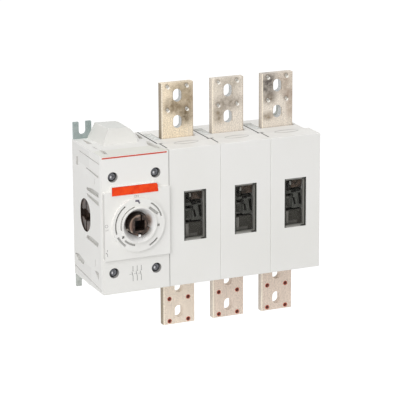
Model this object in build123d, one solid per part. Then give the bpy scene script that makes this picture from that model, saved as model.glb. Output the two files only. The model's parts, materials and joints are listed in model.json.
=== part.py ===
from build123d import *
import math
import os

# Three-pole switch disconnector for panel mounting, in millimetres.
# X runs to the right, Y runs from the front to the mounting plane at Y = 0, Z is up.
# The origin is in the mounting plane, at the middle of the width and the height.

# Housing
mechanism_width = 103.0
pole_pitch = 80.0
pole_count = 3
body_height = 203.4
body_depth = 119.0
cover_depth = 33.0
cover_gap = 0.3
front_chamfer = 0.5
rear_chamfer = 1.2

# Steps, grooves and pockets along the poles' top and bottom edges, Y from the mounting plane
step_depth = 8.5
step_end_y = -18.0
end_step_width = 7.5
end_step_y = -81.0
seam_depth = 5.0
rear_seam = (-2.7, -0.9)
front_seam = (0.6, 2.2)
front_seam_y = -108.0
latch_y = (-82.0, -78.5)
latch_left = 6.0
latch_right = 3.8
latch_depth = 4.0
pocket_width = 12.3
pocket_y = (-56.0, -20.0)
pocket_depth = 3.0
wedge_width = 3.5
wedge_y = (-43.5, -29.5)
joint_chamfer = 0.6

# Windows in the pole covers
window_width = 35.0
window_height = 74.4
window_middle_z = 1.0
window_recess = 1.0
window_frame_width = 2.6
window_frame_depth = 6.5
pane_recess = 5.5
pane_thickness = 1.5
chamber_depth = 38.0
chamber_wall = 2.0

# Terminals
terminal_width = 50.0
terminal_thickness = 10.5
terminal_front = 64.0
terminal_tip_z = 183.0
terminal_inner_z = 84.0
slot_z = (164.2, 125.2)
slot_width = 13.0
slot_length = 19.0
screw_hole_z = (178.0, 143.5)
screw_hole_spacing = 30.0
screw_hole_radius = 2.5
well_gap = 1.2
well_end_gap = 3.2
well_depth = 9.0

# Fixing feet
foot_width = 27.5
left_foot_inset = 1.2
right_foot_inset = 7.5
foot_thickness = 5.0
upper_foot_tip_z = 126.7
lower_foot_tip_z = 121.6
foot_inner_z = 72.0
foot_slot_width = 11.5
foot_slot_bottom_z = 107.8

# Front panels, cover and slider
panel_thickness = 8.0
panel_gap = 0.8
screw_recess_radius = 7.5
screw_x = (-154.6, -89.4)
screw_z = 70.7
cover_raise = 6.0
cover_half_height = 50.0
cover_side_gap = 1.4
cover_right = -70.5
slider_left = -158.2
slider_right = -88.4
slider_corner = 2.6
slider_slant = 0.8
slider_bottom_z = 45.0
slider_top_z = 57.2
slider_raise = 1.0
slider_gap = 0.3
slider_seat = 4.0
slider_rim = 0.7

# Dial round the front drive
drive_z = 0.0
dial_radius = 39.5
dial_thickness = 5.0
dial_hub_radius = 26.6
dial_hub_raise = 8.0
dial_mouth_radius = 24.8
dial_throat_radius = 17.5
dial_funnel_depth = 13.0
arc_groove_depth = 4.0
outer_groove_radius = 35.5
inner_groove_radius = 30.0
rim_groove_radius = 27.4
pin_size = 3.8
pins = ((29.0, -147.0), (30.0, -7.0))
key_ends = ((28.6, 56.0), (32.0, 24.0))
key_width = 3.9

# Arc grooves in the dial: radius, width, start and sweep in degrees
dial_grooves = (
    (outer_groove_radius, 2.2, 125.0, 72.0),
    (outer_groove_radius, 3.0, 205.0, 29.0),
    (outer_groove_radius, 2.2, 15.0, 43.0),
    (outer_groove_radius, 2.6, -64.0, 25.0),
    (inner_groove_radius, 2.8, 224.0, 34.0),
    (rim_groove_radius, 1.5, 103.0, 89.0),
)

# Drive sockets
dial_well_depth = 12.0
socket_radius = 15.6
socket_square = 15.0
socket_square_depth = 20.0
socket_clearance = 0.05
socket_flange_radius = 17.2
bearing_length = 14.0
crown_notch_depth = 12.0
crown_slot_x = (1.2, 3.4)
crown_slot_depth = 6.0
lower_notch = 5.8
flank_notch = 9.0
notch_inner_radius = 11.4
side_drive_y = -50.5
side_opening = (41.0, 49.0)
side_lip = 1.5
side_flange_radius = 24.2
side_flange_length = 9.0
side_flange_gap = 0.3
side_square = 17.0
side_slot = 3.6
side_slot_depth = 8.0
side_cross = 12.0
side_cross_depth = 6.0

# Recesses in the mechanism's left side: depth and outline in Y and Z
side_recesses = (
    (1.2, ((-110.0, 88.7), (-29.0, 90.4), (-29.0, 91.6), (-110.0, 90.1))),
    (1.5, ((-107.0, 67.5), (-57.0, 71.5), (-57.0, 73.0), (-106.3, 71.3))),
    (4.0, ((-57.2, 39.2), (-57.4, 43.2), (-80.0, 46.7), (-106.8, 46.6), (-105.2, 38.8))),
    (2.5, ((-60.0, 31.2), (-57.0, 35.0), (-106.1, 33.2), (-105.0, 26.6))),
    (3.5, ((-53.1, -33.9), (-55.5, -28.8), (-72.0, -26.6), (-103.8, -28.4), (-99.0, -35.7))),
    (3.0, ((-2.9, -70.0), (-20.0, -66.5), (-43.2, -71.5), (-39.4, -78.4), (-15.2, -77.1))),
    (3.0, ((-83.7, -73.6), (-100.7, -73.3), (-100.2, -84.4))),
    (2.5, ((-16.2, 67.0), (-24.0, 68.6), (-24.6, 81.0), (-16.2, 79.6))),
    (1.5, ((-92.2, 56.0), (-90.6, 56.0), (-90.6, 64.0), (-92.2, 64.0))),
    (1.5, ((-88.8, -66.5), (-87.2, -66.5), (-87.2, -56.7), (-88.8, -56.7))),
    (1.6, ((-119.0, -98.7), (-2.0, -89.3), (-2.0, -87.9), (-119.0, -97.3))),
)

# Pockets in the mechanism's top, outlines in X and Y
top_pocket_depth = 7.0
top_pockets = (
    ((-79.3, -57.0), (-84.6, -79.4), (-81.9, -99.3), (-76.8, -107.4), (-75.6, -94.0), (-75.8, -61.0)),
    ((-76.4, -12.0), (-82.1, -39.8), (-76.3, -42.4), (-75.0, -14.0)),
    ((-158.9, -8.5), (-161.4, -35.7), (-155.0, -43.2), (-155.9, -25.1)),
    ((-161.6, -57.0), (-160.9, -73.0), (-159.4, -73.0), (-160.1, -57.0)),
    ((-159.1, -76.0), (-161.0, -103.0), (-156.9, -108.1), (-154.3, -81.0)),
)

# Auxiliary cap on the mechanism's top: X and height above the top, at its front and its rear
cap_front = ((-145.7, 0.0), (-136.0, 24.0), (-107.0, 23.2), (-102.5, 20.5), (-97.0, 14.0), (-91.0, 0.0))
cap_rear = ((-149.5, 0.0), (-137.7, 22.4), (-105.5, 21.3), (-101.0, 19.5), (-96.0, 14.0), (-90.5, 0.0))
cap_y = (-57.0, -5.0)

total_width = mechanism_width + pole_count * pole_pitch
left = -total_width / 2
mechanism_right = left + mechanism_width
front = -body_depth
top = body_height / 2
drive_x = left + mechanism_width / 2
cover_front = front - cover_raise
panel_back = front + panel_thickness
hub_front = cover_front - dial_hub_raise
terminal_y = (front + terminal_front, front + terminal_front + terminal_thickness)
well_back = panel_back + dial_well_depth
chamber_x = left + side_lip
bearing_x = chamber_x + side_flange_length
bearing_radius = socket_radius + socket_clearance


def block(x0, x1, y0, y1, z0, z1):
    size = Box(x1 - x0, y1 - y0, z1 - z0)
    return Pos((x0 + x1) / 2, (y0 + y1) / 2, (z0 + z1) / 2) * size


def rod_y(radius, x, z, y0, y1):
    rod = Rot(90, 0, 0) * Cylinder(radius, y1 - y0)
    return Pos(x, (y0 + y1) / 2, z) * rod


def rod_x(radius, y, z, x0, x1):
    rod = Rot(0, 90, 0) * Cylinder(radius, x1 - x0)
    return Pos((x0 + x1) / 2, y, z) * rod


def front_plane(x, y, z):
    return Plane(origin=(x, y, z), x_dir=(1, 0, 0), z_dir=(0, -1, 0))


def polygon(corners):
    return make_face(Polyline(*corners, close=True))


# An outline in X and Z, extruded from y0 back to y1
def prism_y(corners, y0, y1):
    return extrude(front_plane(0, y0, 0) * polygon(corners), -(y1 - y0))


# An outline in Y and Z, extruded from x0 to x1
def prism_x(corners, x0, x1):
    return extrude(Plane.YZ.offset(x0) * polygon(corners), x1 - x0)


# An outline in X and Y, extruded from z0 to z1
def prism_z(corners, z0, z1):
    return extrude(Plane.XY.offset(z0) * polygon(corners), z1 - z0)


def slot_y(width, length, x, z, y0, y1):
    shape = SlotOverall(length, width, rotation=90)
    return extrude(front_plane(x, y0, z) * shape, -(y1 - y0))


def slot_x(width, length, y, z, x0, x1):
    shape = SlotOverall(length, width, rotation=90)
    side_plane = Plane(origin=(x0, y, z), x_dir=(0, 1, 0), z_dir=(1, 0, 0))
    return extrude(side_plane * shape, x1 - x0)


def both_ends(shape):
    return [shape, mirror(shape, about=Plane.XY)]


def terminal(x, side):
    half = terminal_width / 2
    y0, y1 = terminal_y
    bar = block(x - half, x + half, y0, y1, terminal_inner_z, terminal_tip_z)
    for z in slot_z:
        bar -= slot_y(slot_width, slot_length, x, z, y0 - 1, y1 + 1)
    for z in screw_hole_z:
        for shift in (-screw_hole_spacing / 2, screw_hole_spacing / 2):
            bar -= rod_y(screw_hole_radius, x + shift, z, y0 - 1, y1 + 1)
    if side < 0:
        bar = mirror(bar, about=Plane.XY)
    return bar


# A forked steel plate let into the back of the housing
def foot(x_side, z_side):
    outer = total_width / 2 - (left_foot_inset if x_side < 0 else right_foot_inset)
    tip_z = upper_foot_tip_z if z_side > 0 else lower_foot_tip_z
    plate = block(outer - foot_width, outer, -foot_thickness, 0, foot_inner_z, tip_z)
    middle_x = outer - foot_width / 2
    half = foot_slot_width / 2
    slot_centre_z = foot_slot_bottom_z + half
    plate -= rod_y(half, middle_x, slot_centre_z, -foot_thickness - 1, 1)
    plate -= block(middle_x - half, middle_x + half, -foot_thickness - 1, 1, slot_centre_z, tip_z + 1)
    if x_side < 0:
        plate = mirror(plate, about=Plane.YZ)
    if z_side < 0:
        plate = mirror(plate, about=Plane.XY)
    return plate


def pole_middle(index):
    return mechanism_right + pole_pitch * (index + 0.5)


# A box with the window's outline, inset all round
def window_box(x, inset, y0, y1):
    half_w = window_width / 2 - inset
    half_h = window_height / 2 - inset
    return block(x - half_w, x + half_w, y0, y1, window_middle_z - half_h, window_middle_z + half_h)


def pole_cover(x):
    half = (pole_pitch - cover_gap) / 2
    cover = block(x - half, x + half, front, front + cover_depth, -top, top)
    cover = chamfer(cover.edges().group_by(Axis.Y)[0], front_chamfer)
    cover -= both_ends(seam_cut(x - pole_pitch / 2, front_seam, (front_seam_y, front + cover_depth + 1)))
    return cover - window_box(x, 0, front - 1, front + cover_depth + 1)


# The rear of a pole, stepped and grooved along its edges and open where the terminals come out
def pole_base(index):
    x = pole_middle(index)
    half = pole_pitch / 2
    y0 = front + cover_depth
    base = block(x - half, x + half, y0, 0, -top, top)
    long_edges = base.edges().filter_by(Axis.X)
    base = chamfer(long_edges.group_by(Axis.Y)[-1], rear_chamfer)
    base = chamfer(base.edges().filter_by(Axis.X).group_by(Axis.Y)[0], joint_chamfer)
    for cut in edge_cuts(index, x):
        base -= both_ends(cut)
    base -= both_ends(terminal_well(x))
    base -= both_ends(terminal_bar(x))
    return base - window_box(x, chamber_wall, y0 - 1, front + chamber_depth)


# A cut along the top edge, from its floor up past the top
def top_cut(x0, x1, y_range, depth):
    return block(x0, x1, y_range[0], y_range[1], top - depth, top + 1)


# A narrow groove along a pole's boundary, offset to one side of it
def seam_cut(edge_x, offsets, y_range):
    return top_cut(edge_x + offsets[0], edge_x + offsets[1], y_range, seam_depth)


def edge_cuts(index, x):
    x0 = x - pole_pitch / 2
    x1 = x + pole_pitch / 2
    cuts = [
        top_cut(x0 - 1, x0 + latch_left, latch_y, latch_depth),
        top_cut(x0 - 1, x0 + pocket_width, pocket_y, pocket_depth),
        top_cut(x0 - 1, x0 + wedge_width, wedge_y, step_depth),
        seam_cut(x0, front_seam, (front + cover_depth - 1, latch_y[0] + 1)),
    ]
    if index == pole_count - 1:
        cuts.append(top_cut(x1 - end_step_width, x1 + 1, (end_step_y, 1), step_depth))
        return cuts
    cuts.append(top_cut(x1 - latch_right, x1 + 1, latch_y, latch_depth))
    cuts.append(seam_cut(x1, rear_seam, (latch_y[1] - 1, step_end_y)))
    return cuts


def terminal_well(x):
    half = terminal_width / 2
    y0, y1 = terminal_y
    y0 -= well_gap
    y1 += well_gap
    return block(x - half - well_gap, x + half + well_end_gap, y0, y1, top - well_depth, top + 1)


def terminal_bar(x):
    half = terminal_width / 2
    return block(x - half, x + half, terminal_y[0], terminal_y[1], terminal_inner_z, terminal_tip_z)


def window_frame(x):
    y0 = front + window_recess
    y1 = y0 + window_frame_depth
    return window_box(x, 0, y0, y1) - window_box(x, window_frame_width, y0 - 1, y1 + 1)


def window_pane(x):
    y0 = front + pane_recess
    return window_box(x, window_frame_width, y0, y0 + pane_thickness)


# The dark insert seen through the window, with its stepped blocks and gaps
def contact_chamber(x):
    back = front + chamber_depth
    half_w = window_width / 2 - chamber_wall
    half_h = window_height / 2 - chamber_wall
    low = window_middle_z - half_h
    high = window_middle_z + half_h
    wall = back - 4
    right = x + half_w
    insert = window_box(x, chamber_wall, wall, back)
    blocks = (
        (x - half_w, right, front + 12, low, -13.3),
        (x + 0.2, right, front + 12, -10.3, 17.2),
        (x - half_w, x + 0.2, front + 15, -9.6, 7.0),
        (x - half_w, x - 1.5, front + 11, 12.6, 16.6),
        (x - half_w, x - 2.2, front + 14, 16.6, high),
        (x - 0.6, right, front + 13, 20.6, high),
        (x - 4.2, x - 2.2, front + 11, 25.6, 31.0),
    )
    for x0, x1, y0, z0, z1 in blocks:
        insert += block(x0, x1, y0, wall, z0, z1)
    left_slot = [(x + 1.6, 5.4), (x + 4.4, 5.4), (x + 6.6, -5.4), (x + 3.4, -5.4)]
    right_slot = [(x + 9.4, 12.0), (x + 14.0, 12.0), (x + 15.4, -6.2), (x + 11.8, -6.2)]
    for outline in (left_slot, right_slot):
        insert -= prism_y(outline, front + 10, wall)
    return insert


def mechanism_housing():
    body = block(left, mechanism_right, panel_back, 0, -top, top)
    rear_edges = body.edges().group_by(Axis.Y)[-1].filter_by(Axis.X)
    body = chamfer(rear_edges, rear_chamfer)
    body -= rod_y(dial_throat_radius, drive_x, drive_z, panel_back - 1, well_back)
    body -= rod_y(bearing_radius, drive_x, drive_z, well_back - 1, well_back + bearing_length + 1)
    body -= side_chamber()
    for depth, outline in side_recesses:
        body -= prism_x(outline, left - 1, left + depth)
    for outline in top_pockets:
        body -= prism_z(outline, top - top_pocket_depth, top + 1)
    return body - both_ends(seam_cut(mechanism_right, rear_seam, (latch_y[1], -3.0)))


# The side drive's opening: an oblong mouth, a round chamber and the bearing behind it
def side_chamber():
    width, length = side_opening
    mouth = slot_x(width, length, side_drive_y, drive_z, left - 1, chamber_x + 1)
    radius = side_flange_radius + side_flange_gap
    chamber = rod_x(radius, side_drive_y, drive_z, chamber_x, bearing_x + side_flange_gap)
    bearing = rod_x(bearing_radius, side_drive_y, drive_z, chamber_x, bearing_x + bearing_length + 1)
    return [mouth, chamber, bearing]


# The tapered hump, lofted from its front outline to its slightly lower rear outline
def auxiliary_cap():
    sections = []
    for y, outline in zip(cap_y, (cap_front, cap_rear)):
        corners = [(x, top + rise) for x, rise in outline]
        sections.append(front_plane(0, y, 0) * polygon(corners))
    return loft(sections, ruled=True)


def front_panel(z0, z1):
    panel = block(left, mechanism_right - panel_gap, front, panel_back, z0, z1)
    middle = (z0 + z1) / 2
    for x in screw_x:
        z = math.copysign(screw_z, middle)
        panel -= rod_y(screw_recess_radius, x, z, front - 1, panel_back + 1)
    return panel


def upper_panel():
    return front_panel(cover_half_height, top)


def lower_panel():
    return front_panel(-top, -cover_half_height)


# The orange bar's outline with its cut corner, grown all round
def slider_prism(grow, y0, y1):
    x0 = slider_left - grow
    x1 = slider_right + grow
    z0 = slider_bottom_z - grow
    z1 = slider_top_z + grow
    shoulder = (x1 - slider_slant, z1 - slider_corner)
    return prism_y([(x0, z0), (x1, z0), shoulder, (x1 - slider_corner, z1), (x0, z1)], y0, y1)


def slider():
    return slider_prism(0.0, cover_front - slider_raise, cover_front + slider_seat)


# The raised cover, with a tab at its top that carries the orange bar
def centre_cover():
    x0 = left + cover_side_gap
    half = cover_half_height
    cover = block(x0, cover_right, cover_front, front, -half, half)
    cover += slider_prism(slider_rim, cover_front, front)
    cover += block(left, mechanism_right - panel_gap, front, panel_back, -half, half)
    cover -= dial_funnel()
    return cover - slider_prism(slider_gap, cover_front - 1, cover_front + slider_seat)


# The funnel from the hub's mouth to its throat, with the straight bore behind it
def dial_funnel():
    slope = (dial_mouth_radius - dial_throat_radius) / dial_funnel_depth
    length = dial_funnel_depth + 1
    cone = Rot(90, 0, 0) * Cone(dial_throat_radius, dial_mouth_radius + slope, length)
    throat_y = hub_front + dial_funnel_depth
    funnel = Pos(drive_x, throat_y - length / 2, drive_z) * cone
    return [funnel, rod_y(dial_throat_radius, drive_x, drive_z, throat_y - 1, panel_back + 1)]


def polar(radius, degrees):
    angle = math.radians(degrees)
    return (radius * math.cos(angle), radius * math.sin(angle))


# An arc-shaped groove in the dial's face; degrees run anticlockwise seen from the front
def arc_groove(radius, width, start, sweep):
    inner = CenterArc((0, 0), radius - width / 2, start, sweep)
    outer = CenterArc((0, 0), radius + width / 2, start, sweep)
    ends = [Line(inner @ 0, outer @ 0), Line(inner @ 1, outer @ 1)]
    face = make_face([inner, outer] + ends)
    y0 = cover_front - dial_thickness
    return extrude(front_plane(drive_x, y0, drive_z) * face, -arc_groove_depth)


def key_slot():
    start = Vector(*polar(*key_ends[0]))
    end = Vector(*polar(*key_ends[1]))
    side = (end - start).normalized().rotate(Axis.Z, 90) * (key_width / 2)
    corners = [start - side, end - side, end + side, start + side]
    face = make_face(Polyline(*corners, close=True))
    y0 = cover_front - dial_thickness
    return extrude(front_plane(drive_x, y0, drive_z) * face, -arc_groove_depth)


# The round boss on the centre cover: a disc with arc grooves and a raised hub round the bore
def dial_boss():
    y0 = cover_front - dial_thickness
    boss = rod_y(dial_radius, drive_x, drive_z, y0, cover_front)
    boss += rod_y(dial_hub_radius, drive_x, drive_z, hub_front, cover_front)
    boss -= dial_funnel()
    for groove in dial_grooves:
        boss -= arc_groove(*groove)
    boss -= key_slot()
    for radius, degrees in pins:
        x, z = polar(radius, degrees)
        half = pin_size / 2
        pin = block(x - half, x + half, y0 - 1, y0 + arc_groove_depth, z - half, z + half)
        boss -= Pos(drive_x, 0, drive_z) * pin
    return boss


# A drum of revolution along +X: a front part and a rear part, as (radius, length) pairs
def turned_drum(parts):
    profile = [(0, 0)]
    reached = 0
    for radius, length in parts:
        profile += [(reached, radius), (reached + length, radius)]
        reached += length
    return revolve(polygon(profile + [(reached, 0)]), axis=Axis.X)


# The turning drive socket: a drum with a square hole, a slot and two notches in its crown
def front_socket():
    shoulder_y = hub_front + dial_funnel_depth + socket_clearance
    parts = [(socket_radius, shoulder_y - hub_front)]
    parts.append((socket_flange_radius, well_back - socket_clearance - shoulder_y))
    parts.append((socket_radius, bearing_length))
    socket = Pos(0, hub_front, 0) * Rot(0, 0, 90) * turned_drum(parts)
    half = socket_square / 2
    reach = socket_radius + 1
    mouth = hub_front - 1
    floor = hub_front + crown_notch_depth
    socket -= block(-half, half, mouth, hub_front + socket_square_depth, -half, half)
    socket -= block(notch_inner_radius, reach, mouth, floor, -flank_notch / 2, flank_notch / 2)
    socket -= block(-lower_notch / 2, lower_notch / 2, mouth, floor, -reach, -notch_inner_radius)
    socket -= block(crown_slot_x[0], crown_slot_x[1], mouth, hub_front + crown_slot_depth, 0, reach)
    return Pos(drive_x, 0, drive_z) * socket


# A flanged drum with a square hole and a crossed crown
def side_socket():
    flange = side_flange_length - socket_clearance
    drum = turned_drum([(side_flange_radius, flange), (socket_radius, bearing_length)])
    half = side_square / 2
    drum -= block(-1, socket_square_depth, -half, half, -half, half)
    reach = side_flange_radius + 1
    slot = side_slot / 2
    cross = side_cross / 2
    drum -= block(-1, side_slot_depth, -slot, slot, -reach, reach)
    drum -= block(-1, side_cross_depth, -reach, reach, -cross, cross)
    return Pos(chamber_x + socket_clearance, side_drive_y, drive_z) * drum


def pole_parts(index):
    x = pole_middle(index)
    number = index + 1
    return {
        f"pole_{number}_cover": pole_cover(x),
        f"pole_{number}_base": pole_base(index),
        f"pole_{number}_window_frame": window_frame(x),
        f"pole_{number}_window_pane": window_pane(x),
        f"pole_{number}_contact_chamber": contact_chamber(x),
        f"upper_terminal_{number}": terminal(x, 1),
        f"lower_terminal_{number}": terminal(x, -1),
    }


def build_parts():
    feet = {}
    for x_side, x_name in ((-1, "left"), (1, "right")):
        for z_side, z_name in ((1, "upper"), (-1, "lower")):
            feet[f"{z_name}_{x_name}_foot"] = foot(x_side, z_side)
    parts = dict(feet)
    parts["mechanism_housing"] = mechanism_housing()
    parts["auxiliary_cap"] = auxiliary_cap()
    parts["upper_panel"] = upper_panel()
    parts["lower_panel"] = lower_panel()
    parts["centre_cover"] = centre_cover()
    parts["slider"] = slider()
    parts["dial_boss"] = dial_boss()
    parts["front_socket"] = front_socket()
    parts["side_socket"] = side_socket()
    for index in range(pole_count):
        parts.update(pole_parts(index))
    for name in ("mechanism_housing", f"pole_{pole_count}_base"):
        parts[name] = parts[name] - list(feet.values())
    return parts


os.makedirs("parts", exist_ok=True)
for node, shape in build_parts().items():
    export_step(shape, f"parts/{node}.step")
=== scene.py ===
import json
import math
import bpy
import bmesh
from mathutils import Matrix, Vector


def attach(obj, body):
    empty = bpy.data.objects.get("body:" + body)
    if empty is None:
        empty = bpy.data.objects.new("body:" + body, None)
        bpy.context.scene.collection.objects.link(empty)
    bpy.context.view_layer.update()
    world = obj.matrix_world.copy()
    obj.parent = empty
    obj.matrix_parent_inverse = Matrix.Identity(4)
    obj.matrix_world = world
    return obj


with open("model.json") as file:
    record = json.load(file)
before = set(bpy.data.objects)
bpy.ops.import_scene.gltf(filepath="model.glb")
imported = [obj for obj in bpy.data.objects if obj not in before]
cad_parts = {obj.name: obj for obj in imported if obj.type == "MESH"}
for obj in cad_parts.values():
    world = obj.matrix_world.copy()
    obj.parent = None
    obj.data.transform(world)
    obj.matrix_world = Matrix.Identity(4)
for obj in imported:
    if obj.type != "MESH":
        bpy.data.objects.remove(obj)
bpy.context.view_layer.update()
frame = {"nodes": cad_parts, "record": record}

nodes = frame["nodes"]
scene = bpy.context.scene
mm = 0.001
crisp = 0.0002  # softness of a sharp mask border, in metres
endless = 1.0e6  # size of a spot in a direction that isn't measured

# places on the solids that masks, screws and marks are set by, in mm; far is beyond all of it
far = 400.0
top = 101.7
panelFront = -119.0
coverFront = -125.0
dialFront = -130.0
poleEdges = (-68.5, 11.5, 91.5)
poleMiddles = (-28.5, 51.5, 131.5)
screwX = (-154.6, -89.4)
screwZ = (70.7, -70.7)
screwY = -111.5
driveAxis = (-120.0, None, 0.0)
holeShifts = (-15.0, 15.0)
holeZ = (143.5, 178.0)
plugY = -50.2
barFront = -55.0
slotZ = (125.2, 164.2)


def linear(rgb):
    # 0-255 display values to the linear values that sockets take
    out = []
    for value in rgb:
        c = value / 255
        out.append(c / 12.92 if c <= 0.04045 else ((c + 0.055) / 1.055) ** 2.4)
    return (*out, 1.0)


def place(tree, kind, x, y, **settings):
    node = tree.nodes.new(kind)
    node.location = (x * 200, y * 200)
    for key, value in settings.items():
        setattr(node, key, value)
    return node


def join(tree, source, target):
    tree.links.new(source, target)


def feed(tree, value, target):
    # a number or tuple is set on the socket, anything else is joined to it
    if isinstance(value, (int, float, tuple)):
        target.default_value = value
    else:
        join(tree, value, target)


def groupTree(name, inputs, outputs):
    # inputs that have no value are vectors
    tree = bpy.data.node_groups.new(name, "ShaderNodeTree")
    for label, value in inputs.items():
        kind = "NodeSocketVector" if value is None else "NodeSocketFloat"
        socket = tree.interface.new_socket(label, in_out="INPUT", socket_type=kind)
        if value is not None:
            socket.default_value = value
    for label, kind in outputs.items():
        tree.interface.new_socket(label, in_out="OUTPUT", socket_type=kind)
    return tree, place(tree, "NodeGroupInput", -5, 0), place(tree, "NodeGroupOutput", 6, 0)


def mathNode(tree, operation, x, y, *values):
    node = place(tree, "ShaderNodeMath", x, y, operation=operation)
    for socket, value in zip(node.inputs, values):
        feed(tree, value, socket)
    return node.outputs[0]


def vectorNode(tree, operation, x, y, *values):
    node = place(tree, "ShaderNodeVectorMath", x, y, operation=operation)
    for socket, value in zip(node.inputs, values):
        feed(tree, value, socket)
    return node.outputs["Value" if operation == "LENGTH" else "Vector"]


def splitNode(tree, x, y, vector):
    node = place(tree, "ShaderNodeSeparateXYZ", x, y)
    join(tree, vector, node.inputs[0])
    return node.outputs


def mixColor(tree, x, y, factor, first, second):
    node = place(tree, "ShaderNodeMix", x, y, data_type="RGBA", clamp_factor=True)
    feed(tree, factor, node.inputs["Factor"])
    feed(tree, first, node.inputs[6])
    feed(tree, second, node.inputs[7])
    return node.outputs[2]


def noiseNode(tree, x, y, vector, scale, detail=2.0, roughness=0.5):
    node = place(tree, "ShaderNodeTexNoise", x, y)
    join(tree, vector, node.inputs["Vector"])
    feed(tree, scale, node.inputs["Scale"])
    node.inputs["Detail"].default_value = detail
    node.inputs["Roughness"].default_value = roughness
    return node.outputs["Fac"]


def rampNode(tree, x, y, factor, low, high):
    node = place(tree, "ShaderNodeMapRange", x, y, interpolation_type="SMOOTHSTEP")
    join(tree, factor, node.inputs["Value"])
    feed(tree, low, node.inputs["From Min"])
    feed(tree, high, node.inputs["From Max"])
    return node.outputs["Result"]


def bumpNode(tree, x, y, height, strength, distance):
    node = place(tree, "ShaderNodeBump", x, y)
    join(tree, height, node.inputs["Height"])
    feed(tree, strength, node.inputs["Strength"])
    node.inputs["Distance"].default_value = distance
    return node.outputs["Normal"]


print("stage: shared shader groups")


def mouldGrainGroup():
    # fine grain of moulded plastic and a slow change of tone
    tree, start, end = groupTree(
        "mouldGrain",
        {"Vector": None, "Grain Scale": 900.0, "Tone Scale": 9.0, "Bump": 0.05},
        {"Tone": "NodeSocketFloat", "Normal": "NodeSocketVector"})
    given = start.outputs
    slow = noiseNode(tree, -2, 1, given["Vector"], given["Tone Scale"])
    fine = noiseNode(tree, -2, -1, given["Vector"], given["Grain Scale"])
    join(tree, rampNode(tree, 1, 1, slow, 0.3, 0.7), end.inputs["Tone"])
    join(tree, bumpNode(tree, 2, -1, fine, given["Bump"], distance=0.0002), end.inputs["Normal"])
    return tree


def boxMaskGroup():
    # 1 inside a box of object coordinates, with a soft border
    tree, start, end = groupTree(
        "boxMask",
        {"Vector": None, "Low": None, "High": None, "Soft": 0.0005},
        {"Mask": "NodeSocketFloat"})
    given = start.outputs
    here = splitNode(tree, -4, 1, given["Vector"])
    low = splitNode(tree, -4, 0, given["Low"])
    high = splitNode(tree, -4, -1, given["High"])
    total = None
    for axis in range(3):
        above = mathNode(tree, "SUBTRACT", -2, axis * 2, here[axis], low[axis])
        below = mathNode(tree, "SUBTRACT", -2, axis * 2 + 1, high[axis], here[axis])
        near = mathNode(tree, "MINIMUM", -1, axis * 2, above, below)
        near = mathNode(tree, "DIVIDE", 0, axis * 2, near, given["Soft"])
        near = mathNode(tree, "ADD", 1, axis * 2, near, 0.5)
        total = near if total is None else mathNode(tree, "MINIMUM", 2, axis * 2, total, near)
    final = place(tree, "ShaderNodeClamp", 4, 0)
    join(tree, total, final.inputs["Value"])
    join(tree, final.outputs[0], end.inputs["Mask"])
    return tree


def spotGroup():
    # 1 in the core of an oval or ball, falling to 0 at its border
    tree, start, end = groupTree(
        "spot",
        {"Vector": None, "Centre": None, "Size": None, "Core": 0.3},
        {"Mask": "NodeSocketFloat"})
    given = start.outputs
    away = vectorNode(tree, "SUBTRACT", -3, 0, given["Vector"], given["Centre"])
    scaled = vectorNode(tree, "DIVIDE", -2, 0, away, given["Size"])
    length = vectorNode(tree, "LENGTH", -1, 0, scaled)
    join(tree, rampNode(tree, 1, 0, length, 1.0, given["Core"]), end.inputs["Mask"])
    return tree


def blotchGroup():
    # patches of two sizes, as on handled metal
    settings = {"detail": 5.0, "roughness": 0.6, "smallShare": 0.35}
    tree, start, end = groupTree(
        "blotches",
        {"Vector": None, "Large Scale": 40.0, "Small Scale": 220.0, "Low": 0.4, "High": 0.65},
        {"Mask": "NodeSocketFloat", "Speckle": "NodeSocketFloat"})
    given = start.outputs
    large, small = [
        noiseNode(tree, -3, y, given["Vector"], given[label], settings["detail"], settings["roughness"])
        for label, y in (("Large Scale", 1), ("Small Scale", -1))]
    mixed = mathNode(tree, "MULTIPLY_ADD", -1, 0, small, settings["smallShare"], large)
    mixed = mathNode(tree, "SUBTRACT", 0, 0, mixed, settings["smallShare"] / 2)
    join(tree, rampNode(tree, 2, 0, mixed, given["Low"], given["High"]), end.inputs["Mask"])
    join(tree, small, end.inputs["Speckle"])
    return tree


mouldGrain = mouldGrainGroup()
boxMask = boxMaskGroup()
spot = spotGroup()
blotches = blotchGroup()


def useGroup(tree, group, x, y, vector, **values):
    node = place(tree, "ShaderNodeGroup", x, y)
    node.node_tree = group
    join(tree, vector, node.inputs["Vector"])
    for label, value in values.items():
        node.inputs[label.replace("_", " ")].default_value = value
    return node


def newMaterial(name, **settings):
    material = bpy.data.materials.new(name)
    material.use_nodes = True
    tree = material.node_tree
    shader = tree.nodes["Principled BSDF"]
    for label, value in settings.items():
        shader.inputs[label.replace("_", " ")].default_value = value
    coords = place(tree, "ShaderNodeTexCoord", -9, 0).outputs["Object"]
    return material, tree, shader, coords


def moved(point, at):
    # a point shifted in X and Z
    x, y, z = point
    return (x + at[0], y, z + at[1])


def addMask(tree, coords, low, high, soft=0.0006):
    low = tuple(v * mm for v in low)
    high = tuple(v * mm for v in high)
    return useGroup(tree, boxMask, -4, -3, coords, Low=low, High=high, Soft=soft).outputs["Mask"]


def addSpot(tree, coords, centre, size, core=0.3):
    # None leaves that direction out of the distance
    middle = tuple(0.0 if v is None else v * mm for v in centre)
    extent = tuple(endless if v is None else v * mm for v in size)
    return useGroup(tree, spot, -4, -5, coords, Centre=middle, Size=extent, Core=core).outputs["Mask"]


def addBand(tree, coords, outer, inner, within):
    # the band between two spots, each (centre, size, core), inside another mask
    outer = addSpot(tree, coords, *outer)
    inner = addSpot(tree, coords, *inner)
    band = mathNode(tree, "SUBTRACT", -3, -6, outer, inner)
    return mathNode(tree, "MULTIPLY", -2, -6, band, within)


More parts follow.
